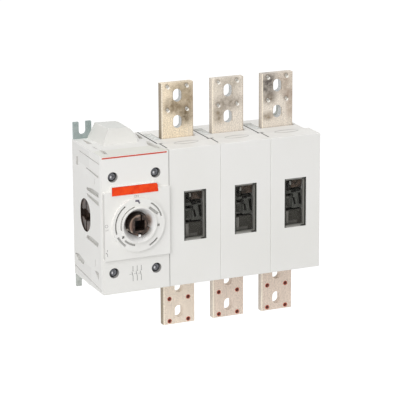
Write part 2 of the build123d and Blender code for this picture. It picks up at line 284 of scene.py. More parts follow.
def boxLayers(tree, coords, rows, at=(0.0, 0.0)):
    # rows hold low corner, high corner, tone, amount and softness
    layers = []
    for low, high, tone, amount, soft in rows:
        layers.append((addMask(tree, coords, moved(low, at), moved(high, at), soft), tone, amount))
    return layers


def spotLayers(tree, coords, rows, at=(0.0, 0.0)):
    # rows hold centre, size, core, tone and amount
    layers = []
    for centre, size, core, tone, amount in rows:
        layers.append((addSpot(tree, coords, moved(centre, at), size, core), tone, amount))
    return layers


def layMasks(tree, color, layers):
    # each layer is (mask, tone, amount), laid over the ones before it
    for mask, tone, amount in layers:
        mask = mathNode(tree, "MULTIPLY", -2, -3, mask, amount)
        color = mixColor(tree, -1, 1, mask, color, linear(tone))
    return color


print("stage: materials")

plasticSettings = {
    "coverPlastic": {"light": (240, 239, 236), "dark": (237, 236, 232), "roughness": 0.45, "scale": 9.0},
    "housingPlastic": {"light": (236, 235, 232), "dark": (231, 230, 227), "roughness": 0.55, "scale": 9.0},
    "capPlastic": {"light": (235, 234, 230), "dark": (231, 230, 227), "roughness": 0.6, "scale": 9.0},
    "orangePlastic": {"light": (248, 76, 14), "dark": (234, 58, 6), "roughness": 0.5, "scale": 140.0},
}


def plasticMaterial(name, shades=(), addMore=None):
    # shades are boxes (low corner, high corner, tone, amount), alike above and below the middle
    settings = plasticSettings[name]
    material, tree, shader, coords = newMaterial(
        name, Roughness=settings["roughness"], IOR=1.48, Specular_IOR_Level=0.3)
    grain = useGroup(tree, mouldGrain, -6, 1, coords, Tone_Scale=settings["scale"])
    color = mixColor(tree, -3, 1, grain.outputs["Tone"], linear(settings["dark"]), linear(settings["light"]))
    split = splitNode(tree, -7, -2, coords)
    upper = splitNode(tree, -7, -3, vectorNode(tree, "ABSOLUTE", -8, -2, coords))
    folded = place(tree, "ShaderNodeCombineXYZ", -6, -2)
    for axis, source in enumerate((split, split, upper)):
        join(tree, source[axis], folded.inputs[axis])
    rows = [(*shade, crisp) for shade in shades]
    color = layMasks(tree, color, boxLayers(tree, folded.outputs[0], rows))
    if addMore:
        color = addMore(tree, coords, color)
    join(tree, color, shader.inputs["Base Color"])
    join(tree, grain.outputs["Normal"], shader.inputs["Normal"])
    return material


def shiftedShades(shades, shifts):
    # the same boxes once for each shift along X
    rows = []
    for shift in shifts:
        for low, high, tone, amount in shades.values():
            rows.append((moved(low, (shift, 0.0)), moved(high, (shift, 0.0)), tone, amount))
    return rows


# painted shade inside the seam grooves between parts and along their borders
seamShadeTone = (40, 39, 37)
# painted shade on the top faces of the panels and of the mechanism's front
topShadeTone = (222, 222, 212)
# painted shade lines round the poles' top pockets; the pocket floors get painted shade too
pocketShadeLine = (150, 152, 150)

# on the panels and covers, painted shade on the cover's left side, in the screw recesses, in the gap beside
# pole 1, in the seams and on the panels' tops: the screw and seam boxes have X from the screw and the pole's
# left edge
coverSideShade = ((-170.6, -124.8, -1.0), (-169.6, -118.0, 47.5), (170, 169, 165), 0.4)
screwShades = {"recessShade": ((-7.9, -118.7, 62.8), (7.9, -110.0, 78.6), (170, 168, 166), 0.9)}
panelShades = {
    "gap": ((-69.6, -118.8, 49.0), (-68.2, -90.0, top - 0.3), (150, 149, 146), 0.6),
    "top": ((-171.4, -119.1, top - 0.6), (-69.6, -80.0, far), topShadeTone, 0.8),
}
coverSeamShades = {
    "seamShade": ((0.5, -108.1, top - 6.0), (2.3, -80.0, top - 0.15), seamShadeTone, 0.9),
    "seamShadeBorder": ((0.2, -108.1, top - 1.0), (2.6, -80.0, far), seamShadeTone, 0.25),
}

# on the mechanism's housing and over all the poles' rears: painted shade in the front bore, the side
# recesses, the side chamber, the top pockets and the seam and on the front top, and painted light on the
# poles' rear tops
housingShades = {
    "frontBoreShade": ((-137.8, -111.5, -1.0), (-102.2, -84.0, 17.8), (46, 36, 30), 1.0),
    "sideRecessShade": ((-171.2, -120.0, -1.0), (-165.0, -1.0, 93.0), (196, 195, 191), 0.7),
    "sideChamberShade": ((-171.4, -75.5, -1.0), (-129.0, -25.5, 25.0), (60, 50, 44), 1.0),
    "topPocketsShade": ((-163.0, -110.0, top - 9.0), (-74.0, -5.0, top - 0.4), (226, 224, 219), 0.7),
    "polesRearTopLight": ((-68.0, -42.0, top - 0.3), (171.0, -1.0, far), (250, 249, 246), 0.9),
    "frontTopShade": ((-171.0, -112.0, top - 0.3), (-72.0, -84.0, far), topShadeTone, 0.6),
    "sideRear": ((-172.0, -70.0, 74.0), (-171.0, -1.0, top - 3.0), (226, 225, 222), 0.7),
    "seamShade": ((-71.3, -78.6, top - 6.0), (-69.3, -2.9, top - 0.15), seamShadeTone, 0.95),
}

# on each pole's rear, with X from the pole's left edge: painted shade in the seams, the latch notch, the
# wedge hole and the pocket, and painted shade lines round the pocket
poleShades = {
    "rearSeamShade": ((-2.8, -79.6, top - 6.0), (-0.8, -17.9, top - 0.15), seamShadeTone, 0.95),
    "rearSeamShadeBorder": ((-3.2, -79.6, top - 1.0), (-0.4, -17.9, far), seamShadeTone, 0.25),
    "frontSeamShadeBorder": ((0.2, -88.0, top - 1.0), (2.6, -80.8, far), seamShadeTone, 0.4),
    "pocketShadeFrontLine": ((0.4, -57.4, top - 0.3), (13.6, -55.9, far), pocketShadeLine, 0.6),
    "pocketShadeRearLine": ((0.4, -20.1, top - 0.3), (13.6, -18.8, far), pocketShadeLine, 0.6),
    "pocketShadeRightLine": ((12.3, -57.0, top - 0.3), (13.6, -19.0, far), pocketShadeLine, 0.6),
    "frontSeamShade": ((0.5, -88.0, top - 6.0), (2.3, -80.8, top - 0.15), seamShadeTone, 0.95),
    "latchShade": ((-3.9, -82.1, top - 5.0), (6.1, -78.4, top - 0.25), (120, 119, 116), 0.8),
    "wedgeShade": ((-0.1, -43.6, top - 9.0), (3.6, -29.4, top - 3.1), (60, 59, 57), 1.0),
    "pocketShade": ((-0.1, -56.1, top - 3.2), (12.4, -19.9, top - 0.2), (226, 228, 226), 0.7),
}

# painted light and shade on the cap's faces: the left face darker, the front and the top each toned as it is
# lit
capShades = {
    "left": ((-160.0, -56.8, top), (-136.4, 0.0, top + 22.3), (214, 213, 208), 0.7),
    "front": ((-160.0, -60.0, top), (-80.0, -56.9, top + 30.0), (232, 231, 227), 0.8),
    "top": ((-136.9, -56.8, top + 21.3), (-103.0, 0.0, top + 30.0), (222, 223, 219), 0.8),
}

gripSettings = {"y": -87.0, "outer": (20.0, 9.0, None), "inner": (18.0, 5.0, None), "core": 0.93,
                "tone": (172, 171, 168), "amount": 0.6, "skin": 0.3}


def addGrips(tree, coords, color):
    # a faint oval outline on each pole's top and bottom, across the joint
    skin = gripSettings["skin"]
    upper = addMask(tree, coords, (-far, -far, top - skin), (far, far, far), crisp)
    lower = addMask(tree, coords, (-far, -far, -far), (far, far, skin - top), crisp)
    faces = mathNode(tree, "MAXIMUM", -3, -6, upper, lower)
    for middle in poleMiddles:
        centre = (middle, gripSettings["y"], None)
        outer = (centre, gripSettings["outer"], gripSettings["core"])
        inner = (centre, gripSettings["inner"], gripSettings["core"])
        ring = addBand(tree, coords, outer, inner, faces)
        color = layMasks(tree, color, [(ring, gripSettings["tone"], gripSettings["amount"])])
    return color


dialSettings = {
    "face": (driveAxis, (39.0, None, 39.0), 0.99),
    "hub": (driveAxis, (26.75, None, 26.75), 0.995),
    "sunk": ((-far, -129.6, -far), (far, -125.2, far), 0.0003),
    "sunkShadeTone": (194, 193, 190),
    "sunkShadeAmount": 0.7,
}
# painted light over the funnel, a painted brown reflection and shade at the throat's right, and painted shade
# low in the throat and at its upper left
dialSpots = {
    "funnelLight": (driveAxis, (24.6, None, 24.6), 0.98, (252, 251, 249), 1.0),
    "throatReflectionShade": ((-101.5, -121.5, 5.0), (8.0, 9.5, 18.0), 0.2, (184, 152, 132), 0.85),
    "throatLowShade": ((-103.0, -124.0, -14.0), (11.0, 14.0, 11.0), 0.2, (214, 210, 204), 0.6),
    "throatDeepShade": ((-129.0, -121.5, 13.0), (13.0, 7.5, 10.0), 0.5, (112, 98, 88), 0.85),
}


def addDial(tree, coords, color):
    # painted shade darkens the dial's sunk marks; painted light brightens the funnel, with a painted brown
    # reflection and painted shade at its throat
    sunk = addMask(tree, coords, *dialSettings["sunk"])
    marks = addBand(tree, coords, dialSettings["face"], dialSettings["hub"], sunk)
    layers = [(marks, dialSettings["sunkShadeTone"], dialSettings["sunkShadeAmount"])]
    layers += spotLayers(tree, coords, dialSpots.values())
    return addGrips(tree, coords, layMasks(tree, color, layers))


coverRows = [coverSideShade] + shiftedShades(screwShades, screwX) + list(panelShades.values())
coverRows += shiftedShades(coverSeamShades, poleEdges)
housingRows = list(housingShades.values()) + shiftedShades(poleShades, poleEdges)
housingPlastic = plasticMaterial("housingPlastic", housingRows, addGrips)
coverPlastic = plasticMaterial("coverPlastic", coverRows, addDial)
capPlastic = plasticMaterial("capPlastic", capShades.values())
orangePlastic = plasticMaterial("orangePlastic")


def zincMaterial():
    # the upper left foot is darker and greener than the others
    settings = {"light": (190, 193, 188), "dark": (150, 154, 150),
                "upperLight": (167, 177, 176), "upperDark": (152, 165, 163),
                "height": (-0.05, 0.05), "leftward": (0.05, -0.05)}
    material, tree, shader, coords = newMaterial("zincSteel", Metallic=0.5, Roughness=0.42)
    blotch = useGroup(tree, blotches, -6, 1, coords, Large_Scale=60.0, Small_Scale=400.0, Low=0.35, High=0.7)
    mask = blotch.outputs["Mask"]
    others = mixColor(tree, -4, 1, mask, linear(settings["light"]), linear(settings["dark"]))
    upperLeft = mixColor(tree, -4, 3, mask, linear(settings["upperLight"]), linear(settings["upperDark"]))
    split = splitNode(tree, -6, -2, coords)
    height = rampNode(tree, -4, -2, split[2], *settings["height"])
    leftward = rampNode(tree, -4, -3, split[0], *settings["leftward"])
    both = mathNode(tree, "MULTIPLY", -3, -2, height, leftward)
    join(tree, mixColor(tree, -2, 1, both, others, upperLeft), shader.inputs["Base Color"])
    return material


# stains on each upper terminal: X from its middle, Z, half width, half height, tone, amount
terminalStains = (
    ((13.0, 135.0, 20.0, 24.0, (112, 96, 72), 0.95), (-3.0, 149.0, 30.0, 20.0, (130, 112, 86), 0.9),
     (9.0, 164.0, 24.0, 26.0, (168, 150, 122), 0.7), (20.0, 158.0, 11.0, 34.0, (142, 122, 94), 0.7),
     (4.0, 174.0, 26.0, 16.0, (164, 148, 122), 0.7)),
    ((0.0, 146.0, 38.0, 20.0, (126, 113, 98), 0.7), (-14.0, 128.0, 16.0, 20.0, (136, 120, 98), 0.75),
     (2.0, 172.0, 32.0, 22.0, (170, 160, 144), 0.7), (-17.0, 168.0, 7.0, 8.0, (226, 216, 200), 0.6)),
    ((-14.0, 167.0, 26.0, 32.0, (98, 90, 84), 0.9), (-12.0, 146.0, 18.0, 15.0, (112, 98, 82), 0.7),
     (20.0, 150.0, 18.0, 16.0, (142, 120, 104), 0.7), (-14.0, 119.0, 17.0, 10.0, (134, 114, 90), 0.7),
     (12.0, 168.0, 22.0, 28.0, (170, 152, 134), 0.7), (20.0, 130.0, 10.0, 30.0, (168, 148, 130), 0.6)),
)

# each terminal's left side, at its front and behind
sideTones = (
    ((158, 144, 122), (144, 130, 110)),
    ((214, 204, 190), (194, 183, 170)),
    ((212, 201, 188), (188, 177, 164)),
)

# round each small hole and each slot, with X and Z from its middle: a painted shade halo at the hole's upper
# left, a painted glint at its lower right and painted light inside its bore; painted shade on the slot's
# inner wall and along its rims
holeSpots = {
    "haloShade": ((-1.0, None, 1.0), (4.6, None, 4.6), 0.55, (112, 100, 84), 0.5),
    "glint": ((1.1, None, -1.8), (2.9, None, 2.8), 0.6, (255, 252, 244), 1.0),
    "boreLight": ((0.0, -50.0, 0.0), (2.75, 4.9, 2.75), 0.95, (255, 253, 247), 1.0),
}
slotEdgeShade = (146, 134, 116)
slotShades = {
    "wall": ((-6.7, -54.7, -9.7), (6.7, -44.0, 9.7), (200, 201, 200), 1.0, crisp),
    "rightRimShade": ((6.3, -56.0, -7.5), (7.7, -54.8, 6.0), slotEdgeShade, 0.7, 0.0006),
    "leftRimShade": ((-7.5, -56.0, -6.0), (-6.3, -54.8, 7.0), slotEdgeShade, 0.5, 0.0006),
}

# edges and left side of a bar: low corner, high corner and softness, with X from its middle; the right edge
# gets painted shade and the left edge a painted highlight
barMasks = {
    "rightEdgeShade": ((23.6, -56.0, -far), (26.0, -54.8, far), 0.0006),
    "leftSide": ((-25.3, -56.0, -far), (-24.9, -44.0, far), crisp),
    "leftEdgeHighlight": ((-24.9, -56.0, -far), (-23.0, -54.8, far), 0.0004),
}
tinnedSettings = {
    "warm": (240, 224, 198), "pale": (230, 220, 207), "lowWarm": (231, 217, 200), "lowPale": (221, 204, 189),
    "leftEdgeHighlight": (250, 238, 219), "rightEdgeShade": (160, 142, 122), "rightEdgeShadeAmount": 0.55,
    "stainCore": 0.1, "stainBreak": 0.7, "stainBase": 0.65,
    "speckle": 1.4, "speckleBase": 0.3, "scratch": 0.3, "scratchBase": 0.85,
    "scratchScale": 700.0, "scratchStretch": (1.0, 1.0, 0.12),
    "across": (-0.03, 0.05), "height": (-0.02, 0.02), "behind": (-0.0515, -0.0465),
}


def barMask(tree, coords, middle, label):
    low, high, soft = barMasks[label]
    return addMask(tree, coords, moved(low, (middle, 0.0)), moved(high, (middle, 0.0)), soft)


def tinnedMaterial():
    # creamy plating with brown and grey stains on the upper bars, a painted highlight on the left edges,
    # painted shade on the right ones, and painted light and shade round the holes and in the slots
    settings = tinnedSettings
    material, tree, shader, coords = newMaterial("tinnedCopper", Metallic=0.35, Roughness=0.45)
    split = splitNode(tree, -8, -2, coords)
    across = rampNode(tree, -7, 3, split[0], *settings["across"])
    height = rampNode(tree, -7, 5, split[2], *settings["height"])
    behind = rampNode(tree, -6, -3, split[1], *settings["behind"])
    fine = useGroup(tree, blotches, -8, 2, coords, Large_Scale=160.0, Small_Scale=620.0, Low=0.3, High=0.75)
    patchy = mathNode(tree, "MULTIPLY_ADD", -3, 3, fine.outputs["Mask"],
                      settings["stainBreak"], settings["stainBase"])
    lowTone = mixColor(tree, -6, 3, across, linear(settings["lowWarm"]), linear(settings["lowPale"]))
    highTone = mixColor(tree, -6, 2, across, linear(settings["warm"]), linear(settings["pale"]))
    color = mixColor(tree, -5, 2, height, lowTone, highTone)
    upperFront = addMask(tree, coords, (-far, -56.0, 0.0), (far, -54.85, far), crisp)
    for middle, stains, (sideFront, sideRear) in zip(poleMiddles, terminalStains, sideTones):
        layers = []
        for dx, z, width, tall, tone, amount in stains:
            stain = addSpot(tree, coords, (middle + dx, None, z), (width, None, tall), settings["stainCore"])
            layers.append((mathNode(tree, "MULTIPLY", -2, 3, stain, patchy), tone, amount))
        for dx in holeShifts:
            for z in holeZ:
                layers += spotLayers(tree, coords, holeSpots.values(), (middle + dx, z))
        for z in slotZ:
            layers += boxLayers(tree, coords, slotShades.values(), (middle, z))
        rightEdgeShade = mathNode(tree, "MULTIPLY", -2, 4, barMask(tree, coords, middle, "rightEdgeShade"), upperFront)
        layers.append((rightEdgeShade, settings["rightEdgeShade"], settings["rightEdgeShadeAmount"]))
        color = layMasks(tree, color, layers)
        leftEdgeHighlight = barMask(tree, coords, middle, "leftEdgeHighlight")
        color = mixColor(tree, -1, -2, leftEdgeHighlight, color, linear(settings["leftEdgeHighlight"]))
        sideTone = mixColor(tree, -3, -3, behind, linear(sideFront), linear(sideRear))
        color = mixColor(tree, 0, -2, barMask(tree, coords, middle, "leftSide"), color, sideTone)
    # speckle and upright scratches over all of it
    stretched = place(tree, "ShaderNodeMapping", -9, 4)
    stretched.inputs["Scale"].default_value = settings["scratchStretch"]
    join(tree, coords, stretched.inputs["Vector"])
    scratches = noiseNode(tree, -8, 4, stretched.outputs[0], settings["scratchScale"])
    speckle = mathNode(tree, "MULTIPLY_ADD", -3, 5, fine.outputs["Speckle"],
                       settings["speckle"], settings["speckleBase"])
    scratch = mathNode(tree, "MULTIPLY_ADD", -3, 6, scratches, settings["scratch"], settings["scratchBase"])
    shade = place(tree, "ShaderNodeVectorMath", 1, 3, operation="SCALE")
    join(tree, color, shade.inputs[0])
    join(tree, mathNode(tree, "MULTIPLY", -2, 5, speckle, scratch), shade.inputs["Scale"])
    join(tree, shade.outputs[0], shader.inputs["Base Color"])
    bump = bumpNode(tree, -2, -2, fine.outputs["Speckle"], strength=0.2, distance=0.0003)
    join(tree, bump, shader.inputs["Normal"])
    return material


# the line is a painted highlight round the crown's upper left, and the gap ring is painted shade
driveSettings = {
    "light": (92, 74, 64), "dark": (40, 31, 26), "line": (176, 152, 134), "lineAmount": 0.5, "gapAmount": 0.8,
    "lineOuter": (driveAxis, (16.9, None, 16.9), 0.95),
    "lineInner": ((-119.6, None, -0.3), (14.6, None, 14.6), 0.97),
    "lineWithin": ((-far, -134.0, -9.0), (-119.0, -132.0, far), 0.002),
    "gapOuter": (driveAxis, (12.4, None, 12.4), 0.95),
    "gapInner": (driveAxis, (11.0, None, 11.0), 0.93),
    "gapWithin": ((-far, -134.0, -far), (far, -132.4, far), 0.0003),
}
# painted highlights on the rims and a painted glint; painted shade on the sunk side and black painted shade
# in the square hole
driveRimHighlights = {
    "left": ((-132.6, None, -1.0), (4.0, None, 11.0), 0.3, (148, 116, 102), 0.55),
    "top": ((-122.5, None, 12.6), (4.0, None, 2.8), 0.3, (134, 118, 108), 0.8),
}
driveGlint = ((-135.0, None, -8.6), (5.0, None, 2.4), 0.2, (236, 224, 210), 0.7)
driveSunkShade = ((-far, -132.6, -60.0), (-100.0, -84.0, 60.0), (44, 35, 30), 0.9, 0.0004)
driveSquareShade = ((-126.0, -134.0, -6.5), (-113.5, -80.0, 7.0), (18, 15, 14), 1.0, 0.0003)


def driveMetalMaterial():
    # brown-black, with painted highlights on the rims at the left and the top, a painted glint at the lower
    # left and a painted highlight line round the upper left; painted shade on the drum's sunk side, in the
    # gap ring and in the square hole
    settings = driveSettings
    material, tree, shader, coords = newMaterial("driveMetal", Metallic=0.4, Roughness=0.38)
    blotch = useGroup(tree, blotches, -6, 1, coords, Large_Scale=170.0, Small_Scale=600.0, Low=0.35, High=0.6)
    color = mixColor(tree, -3, 1, blotch.outputs["Mask"], linear(settings["light"]), linear(settings["dark"]))
    bands = {}
    for label in ("gap", "line"):
        within = addMask(tree, coords, *settings[label + "Within"])
        bands[label] = addBand(tree, coords, settings[label + "Outer"], settings[label + "Inner"], within)
    layers = spotLayers(tree, coords, driveRimHighlights.values())
    layers += boxLayers(tree, coords, [driveSunkShade])
    layers += spotLayers(tree, coords, [driveGlint])
    layers.append((bands["gap"], settings["dark"], settings["gapAmount"]))
    layers.append((bands["line"], settings["line"], settings["lineAmount"]))
    layers += boxLayers(tree, coords, [driveSquareShade])
    join(tree, layMasks(tree, color, layers), shader.inputs["Base Color"])
    return material


screwTones = {
    "light": (116, 117, 122), "dark": (74, 75, 80),
    "washerShade": ((-far, -112.9, -far), (far, -100.0, far), (18, 18, 22), 1.0, crisp),
    "glint": ((-1.2, None, -0.6), (2.0, None, 2.6), 0.3, (250, 250, 252), 0.85),
}


def screwMaterial():
    # a grey head with a small painted glint, in a washer painted black as the shade round the head
    tones = screwTones
    material, tree, shader, coords = newMaterial("screwSteel", Metallic=0.2, Roughness=0.4)
    blotch = useGroup(tree, blotches, -6, 1, coords, Large_Scale=300.0, Small_Scale=900.0)
    color = mixColor(tree, -3, 1, blotch.outputs["Mask"], linear(tones["light"]), linear(tones["dark"]))
    layers = boxLayers(tree, coords, [tones["washerShade"]])
    for x in screwX:
        for z in screwZ:
            layers += spotLayers(tree, coords, [tones["glint"]], (x, z))
    join(tree, layMasks(tree, color, layers), shader.inputs["Base Color"])
    return material


# the wall tone is painted light on the frame's inner walls
windowTones = {"light": (56, 55, 52), "dark": (48, 47, 44), "wall": (158, 157, 150),
               "wallY": (-0.1176, -0.1168)}
barTone = (150, 149, 144)
windowBars = {
    "upper": ((-15.5, -far, 35.7), (11.0, far, 39.0), barTone, 0.8, 0.002),
    "lower": ((-15.5, -far, -37.0), (9.0, far, -33.6), barTone, 1.0, 0.002),
}


def windowFrameMaterial():
    # dark upright sides, greyer top and bottom bars, and painted light on the inner walls
    tones = windowTones
    material, tree, shader, coords = newMaterial(
        "windowFramePlastic", Roughness=0.35, Specular_IOR_Level=0.2)
    inner = rampNode(tree, -6, -2, splitNode(tree, -8, -2, coords)[1], *tones["wallY"])
    grain = useGroup(tree, mouldGrain, -6, 1, coords)
    color = mixColor(tree, -4, 1, grain.outputs["Tone"], linear(tones["light"]), linear(tones["dark"]))
    for middle in poleMiddles:
        color = layMasks(tree, color, boxLayers(tree, coords, windowBars.values(), (middle, 0.0)))
    color = mixColor(tree, -2, 1, inner, color, linear(tones["wall"]))
    join(tree, color, shader.inputs["Base Color"])
    return material


def paneMaterial():
    # smoky and nearly clear
    tones = {"dark": (50, 49, 45), "light": (58, 57, 53)}
    material, tree, shader, coords = newMaterial(
        "smokyPane", Roughness=0.1, IOR=1.45, Alpha=0.16, Specular_IOR_Level=0.12)
    grain = useGroup(tree, mouldGrain, -6, 1, coords)
    color = mixColor(tree, -3, 1, grain.outputs["Tone"], linear(tones["dark"]), linear(tones["light"]))
    join(tree, color, shader.inputs["Base Color"])
    return material


# painted black shade for the gaps, and a painted highlight for edges, behind the panes
gapShadeTone = (12, 11, 10)
edgeHighlightTone = (150, 148, 142)

# what shows behind each pane: corners with X from the pole's middle, tone, amount and softness; the black
# rows are painted shade in the gaps, the light edge rows painted highlights, and the lighter strip at the
# lower left painted light
chamberMarks = (
    ((-16.0, -105.5, 16.3), (-2.0, 0.0, 40.0), (62, 60, 55), 1.0, 0.001),
    ((-8.8, -106.0, 21.0), (-4.6, 0.0, 28.0), gapShadeTone, 1.0, 0.0008),
    ((-1.6, -107.5, 13.0), (7.0, -104.0, 18.8), gapShadeTone, 1.0, 0.0008),
    ((7.6, -107.5, 14.2), (14.4, -104.0, 18.8), gapShadeTone, 1.0, 0.0008),
    ((0.2, -107.5, 4.6), (2.2, -104.0, 11.4), gapShadeTone, 0.9, 0.0006),
    ((1.4, -106.8, -7.2), (7.2, -80.0, 6.0), gapShadeTone, 1.0, 0.0004),
    ((9.0, -106.8, -7.0), (16.0, -80.0, 12.6), gapShadeTone, 1.0, 0.0004),
    ((-9.9, -104.6, 4.6), (-4.0, -103.0, 6.2), edgeHighlightTone, 0.8, 0.0006),
    ((-9.9, -104.6, -9.4), (-5.0, -103.0, -7.4), edgeHighlightTone, 0.8, 0.0006),
    ((-8.8, -104.6, -7.0), (-3.0, -103.0, 3.4), (84, 82, 76), 0.9, 0.002),
    ((-10.4, -107.4, -34.0), (-5.8, -106.0, -14.6), (216, 213, 206), 0.85, 0.0015),
    ((-10.4, -107.4, -34.0), (8.0, -106.0, -29.6), edgeHighlightTone, 0.8, 0.002),
    ((-4.4, -109.0, 25.4), (-2.0, -106.0, 31.2), (206, 204, 196), 1.0, 0.0006),
)
chamberSettings = {
    "plate": (112, 113, 108), "plateLow": (100, 101, 96),
    "contact": (122, 102, 88), "contactDark": (62, 50, 42),
    "lower": ((-far, -far, -40.0), (far, 0.0, -13.0), (86, 84, 78), 1.0, 0.0006),
    # everything deeper than the plates is painted black shade
    "deepShade": ((-far, -102.5, -far), (far, 0.0, far), (14, 13, 12), 1.0, 0.0006),
    "contactBox": ((-0.8, -106.2, 20.2), (16.0, 0.0, 40.0)),
}


def chamberMaterial():
    # grey plates, painted black shade in the gaps and deep behind them, a brownish contact at the top,
    # painted highlights along edges and a pale patch beside the contact
    settings = chamberSettings
    material, tree, shader, coords = newMaterial("chamberPlastic", Roughness=0.6, Specular_IOR_Level=0.15)
    grain = useGroup(tree, mouldGrain, -8, 1, coords, Tone_Scale=60.0)
    color = mixColor(tree, -6, 1, grain.outputs["Tone"],
                     linear(settings["plate"]), linear(settings["plateLow"]))
    metal = useGroup(tree, blotches, -8, 3, coords, Large_Scale=150.0, Small_Scale=500.0, Low=0.4, High=0.6)
    contact = mixColor(tree, -6, 3, metal.outputs["Mask"],
                       linear(settings["contact"]), linear(settings["contactDark"]))
    color = layMasks(tree, color, boxLayers(tree, coords, [settings["lower"], settings["deepShade"]]))
    for middle in poleMiddles:
        at = (middle, 0.0)
        low, high = settings["contactBox"]
        upper = addMask(tree, coords, moved(low, at), moved(high, at))
        color = mixColor(tree, -2, 2, upper, color, contact)
        color = layMasks(tree, color, boxLayers(tree, coords, chamberMarks, at))
    join(tree, color, shader.inputs["Base Color"])
    return material


def inkMaterial(name, tone):
    # a flat tone with a faint change, for prints and small plugs
    material, tree, shader, coords = newMaterial(name, Roughness=0.6)
    grain = useGroup(tree, mouldGrain, -6, 1, coords, Tone_Scale=300.0)
    dark = tuple(v * 0.94 for v in tone)
    color = mixColor(tree, -3, 1, grain.outputs["Tone"], linear(dark), linear(tone))
    join(tree, color, shader.inputs["Base Color"])
    return material


materials = {
    "housing_plastic": housingPlastic,
    "cover_plastic": coverPlastic,
    "orange_plastic": orangePlastic,
    "zinc_steel": zincMaterial(),
    "tinned_copper": tinnedMaterial(),
    "drive_metal": driveMetalMaterial(),
    "window_frame_plastic": windowFrameMaterial(),
    "smoky_pane": paneMaterial(),
    "chamber_plastic": chamberMaterial(),
}
screwSteel = screwMaterial()
greyInk = inkMaterial("greyInk", (158, 157, 155))
paleInk = inkMaterial("paleInk", (184, 183, 181))
darkInk = inkMaterial("darkInk", (118, 114, 126))
redInk = inkMaterial("redInk", (228, 84, 50))
plugRed = inkMaterial("plugRed", (84, 28, 14))
dotRed = inkMaterial("dotRed", (160, 44, 26))
rimRed = inkMaterial("rimRed", (206, 88, 56))


def setOnly(mesh, material):
    mesh.materials.clear()
    mesh.materials.append(material)


for row in frame["record"]["subparts"]:
    setOnly(nodes[row["node"]].data, materials[row["material_slot"]])
setOnly(nodes["auxiliary_cap"].data, capPlastic)


def keepPiece(name, mesh, material, body="switch"):
    setOnly(mesh, material)
    for face in mesh.polygons:
        face.material_index = 0
    piece = bpy.data.objects.new(name, mesh)
    scene.collection.objects.link(piece)
    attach(piece, body)
    return piece


def plainMesh(host):
    # the host's evaluated mesh; the host itself is removed
    evaluated = host.evaluated_get(bpy.context.evaluated_depsgraph_get())
    mesh = bpy.data.meshes.new_from_object(evaluated)
    host.modifiers.clear()
    bpy.data.objects.remove(host)
    return mesh


def geometryTree(name, inputs):
    tree = bpy.data.node_groups.new(name, "GeometryNodeTree")
    tree.interface.new_socket("Geometry", in_out="INPUT", socket_type="NodeSocketGeometry")
    for label, value in inputs.items():
        socket = tree.interface.new_socket(label, in_out="INPUT", socket_type="NodeSocketFloat")
        socket.default_value = value
    tree.interface.new_socket("Material", in_out="INPUT", socket_type="NodeSocketMaterial")
    tree.interface.new_socket("Geometry", in_out="OUTPUT", socket_type="NodeSocketGeometry")
    return tree, place(tree, "NodeGroupInput", -6, 0), place(tree, "NodeGroupOutput", 8, 0)


def roundBlock(tree, x, y, radius, height, lift=0.0, sides=40):
    # a cylinder whose middle is lifted along its axis
    body = place(tree, "GeometryNodeMeshCylinder", x, y)
    body.inputs["Vertices"].default_value = sides
    join(tree, radius, body.inputs["Radius"])
    join(tree, height, body.inputs["Depth"])
    at = place(tree, "ShaderNodeCombineXYZ", x, y - 1)
    feed(tree, lift, at.inputs[2])
    move = place(tree, "GeometryNodeTransform", x + 1, y)
    join(tree, body.outputs["Mesh"], move.inputs["Geometry"])
    join(tree, at.outputs[0], move.inputs["Translation"])
    return move.outputs[0]


def scatterShape(tree, start, end, shape):
    # turns the shape to face -Y and puts it on each point
    spin = place(tree, "GeometryNodeTransform", 2, 1)
    spin.inputs["Rotation"].default_value = (math.radians(90), 0.0, 0.0)
    join(tree, shape, spin.inputs["Geometry"])
    scatter = place(tree, "GeometryNodeInstanceOnPoints", 3, 0)
    join(tree, start.outputs["Geometry"], scatter.inputs["Points"])
    join(tree, spin.outputs[0], scatter.inputs["Instance"])
    realized = place(tree, "GeometryNodeRealizeInstances", 5, 0)
    join(tree, scatter.outputs[0], realized.inputs[0])
    setMaterial = place(tree, "GeometryNodeSetMaterial", 6, 0)
    join(tree, realized.outputs[0], setMaterial.inputs["Geometry"])
    join(tree, start.outputs["Material"], setMaterial.inputs["Material"])
    join(tree, setMaterial.outputs[0], end.inputs[0])
    return tree


def runTree(name, tree, points, values, material):
    # puts the tree on the points, sets its inputs and turns the result into a plain mesh
    mesh = bpy.data.meshes.new(name + "Points")
    mesh.from_pydata([tuple(v * mm for v in p) for p in points], [], [])
    host = bpy.data.objects.new(name + "Host", mesh)
    scene.collection.objects.link(host)
    modifier = host.modifiers.new("build", "NODES")
    modifier.node_group = tree
    for item in tree.interface.items_tree:
        if item.in_out == "INPUT" and item.name in values:
            modifier[item.identifier] = values[item.name]
        if item.in_out == "INPUT" and item.name == "Material":
            modifier[item.identifier] = material
    made = plainMesh(host)
    made.name = name
    return keepPiece(name, made, material)


print("stage: screws and plugs")

screwSettings = {
    "Head Radius": 5.0 * mm, "Head Height": 3.0 * mm, "Washer Radius": 7.3 * mm, "Washer Height": 1.0 * mm,
    "Recess Radius": 2.2 * mm, "Recess Depth": 1.6 * mm,
}
screwPlaces = [(x, screwY, z) for x in screwX for z in screwZ]


